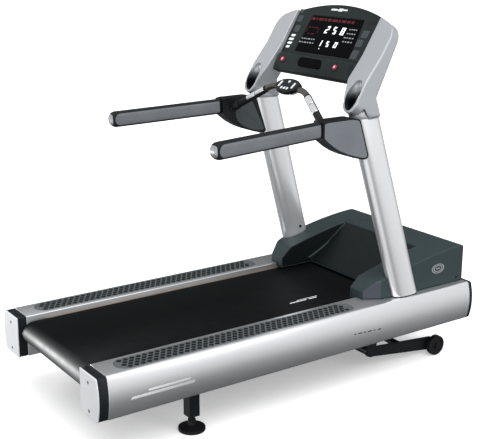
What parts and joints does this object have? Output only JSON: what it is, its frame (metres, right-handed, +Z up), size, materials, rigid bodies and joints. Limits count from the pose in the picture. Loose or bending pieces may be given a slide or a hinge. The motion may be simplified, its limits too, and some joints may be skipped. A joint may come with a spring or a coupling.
{
  "type": "treadmill",
  "caption": "Motorised club treadmill with bulged side rails, a running belt, a horned motor hood, leaning uprights, a console with cup wells, handrails and a lifting front frame.",
  "frame": {"origin": "centre of the bounding box's bottom face, on the floor", "axes": "+X forward along the running belt towards the hood, +Y to the runner's left, +Z up"},
  "size_m": [2.03, 0.94, 1.7043],
  "materials": {
    "rail_silver": "satin silver paint over an aluminium extrusion",
    "upright_silver": "satin silver paint",
    "wing_silver": "satin silver moulding",
    "black_plastic": "fine grain",
    "grip_pad": "matt, moulded",
    "deck_wood": "sealed board",
    "cushion_rubber": "matt",
    "steel": "turned",
    "belt_black": "semi-gloss, finely woven",
    "motor_black": "satin",
    "drive_rubber": "matt",
    "hood_dark": "fine grain",
    "console_dark": "fine grain",
    "controller_grey": "cast",
    "black_steel": "blackened",
    "display_black": "polished",
    "board_green": "lacquered",
    "key_red": "moulded",
    "handrail_grey": "satin",
    "bracket_grey": "satin",
    "tip_silver": "satin",
    "bar_silver": "satin",
    "grip_black": "matt",
    "sensor_steel": "brushed",
    "pod_black": "moulded",
    "pod_key_silver": "moulded",
    "black_paint": "satin",
    "wheel_rubber": "matt",
    "foot_rubber": "matt"
  },
  "bodies": {
    "base": {"side_rail_right": "rail_silver", "side_rail_left": "rail_silver", "rear_bumpers": "black_plastic", "rear_plate_right": "rail_silver", "rear_plate_left": "rail_silver", "rear_plate_screws": "black_steel", "front_cap_right": "black_plastic", "front_cap_left": "black_plastic", "grip_pad_right": "grip_pad", "grip_pad_left": "grip_pad", "deck_board": "deck_wood", "deck_cushions": "cushion_rubber", "cross_members": "steel", "running_belt": "belt_black", "roller_axles": "steel", "tension_bolts": "steel", "drive_motor": "motor_black", "drive_belt": "drive_rubber", "motor_mount": "steel", "controller_box": "controller_grey", "power_inlet": "black_plastic", "belly_pan": "black_plastic", "motor_hood": "hood_dark", "upright_right": "upright_silver", "upright_left": "upright_silver", "upright_screws": "black_steel", "console_wing_right": "wing_silver", "console_wing_left": "wing_silver", "console_face": "console_dark", "console_back": "black_plastic", "display_window": "display_black", "display_board": "board_green", "lower_panel": "console_dark", "receiver_window": "display_black", "handrail_bracket_right": "bracket_grey", "handrail_bracket_left": "bracket_grey", "handrail_right": "handrail_grey", "handrail_left": "handrail_grey", "handrail_tips": "tip_silver", "cross_bar": "bar_silver", "bar_grips": "grip_black", "pulse_sensors": "sensor_steel", "pod_housing": "pod_black", "lift_brackets": "black_paint", "lift_motor": "motor_black", "foot_legs": "black_paint"},
    "front_roller": {"front_roller": "steel"},
    "rear_roller": {"rear_roller": "steel"},
    "motor_shaft": {"motor_rotor": "steel"},
    "lift_arm": {"lift_frame": "black_paint"},
    "wheel_right": {"lift_wheel_right": "wheel_rubber"},
    "wheel_left": {"lift_wheel_left": "wheel_rubber"},
    "lift_screw": {"lift_screw_tube": "steel"},
    "foot_right": {"levelling_foot_right": "foot_rubber"},
    "foot_left": {"levelling_foot_left": "foot_rubber"},
    "stop_button": {"stop_key": "key_red"},
    "start_button": {"start_key": "key_red"},
    "pod_speed_button": {"pod_speed_key": "pod_key_silver"},
    "pod_incline_button": {"pod_incline_key": "pod_key_silver"},
    "rocker": {"power_switch": "black_plastic"}
  },
  "joints": [
    {"name": "front_roller_turn", "type": "hinge", "parent": "base", "child": "front_roller", "pos_m": [0.7, 0, 0.32], "axis": [0, 1, 0], "continuous": true},
    {"name": "rear_roller_turn", "type": "hinge", "parent": "base", "child": "rear_roller", "pos_m": [-0.945, 0, 0.32], "axis": [0, 1, 0], "continuous": true},
    {"name": "motor_turn", "type": "hinge", "parent": "base", "child": "motor_shaft", "pos_m": [0.868, 0, 0.352], "axis": [0, 1, 0], "continuous": true},
    {"name": "lift_hinge", "type": "hinge", "parent": "base", "child": "lift_arm", "pos_m": [0.482, 0, 0.103], "axis": [0, 1, 0], "range_deg": [0, 33]},
    {"name": "wheel_right_turn", "type": "hinge", "parent": "lift_arm", "child": "wheel_right", "pos_m": [0.898, -0.346, 0.05], "axis": [0, 1, 0], "continuous": true},
    {"name": "wheel_left_turn", "type": "hinge", "parent": "lift_arm", "child": "wheel_left", "pos_m": [0.898, 0.346, 0.05], "axis": [0, 1, 0], "continuous": true},
    {"name": "lift_screw_slide", "type": "slide", "parent": "base", "child": "lift_screw", "axis": [1, 0, 0], "range_m": [0, 0.0745]},
    {"name": "foot_right_level", "type": "slide", "parent": "base", "child": "foot_right", "axis": [0, 0, 1], "range_m": [-0.02, 0.012]},
    {"name": "foot_left_level", "type": "slide", "parent": "base", "child": "foot_left", "axis": [0, 0, 1], "range_m": [-0.02, 0.012]},
    {"name": "stop_press", "type": "slide", "parent": "base", "child": "stop_button", "axis": [0.859, 0, -0.512], "range_m": [0, 0.0025], "stiffness_N_per_m": 800},
    {"name": "start_press", "type": "slide", "parent": "base", "child": "start_button", "axis": [0.859, 0, -0.512], "range_m": [0, 0.0025], "stiffness_N_per_m": 800},
    {"name": "pod_speed_press", "type": "slide", "parent": "base", "child": "pod_speed_button", "axis": [0.6428, 0, -0.766], "range_m": [0, 0.002], "stiffness_N_per_m": 800},
    {"name": "pod_incline_press", "type": "slide", "parent": "base", "child": "pod_incline_button", "axis": [0.6428, 0, -0.766], "range_m": [0, 0.002], "stiffness_N_per_m": 800},
    {"name": "rocker_tip", "type": "hinge", "parent": "base", "child": "rocker", "pos_m": [0.981, 0.13, 0.262], "axis": [0, 1, 0], "range_deg": [0, 14]}
  ],
  "couplings": [
    {"joint": "rear_roller_turn", "follows": "front_roller_turn", "ratio": 1},
    {"joint": "motor_turn", "follows": "front_roller_turn", "ratio": 1.917},
    {"joint": "lift_screw_slide", "follows": "lift_hinge", "m_per_rad": 0.12819}
  ]
}
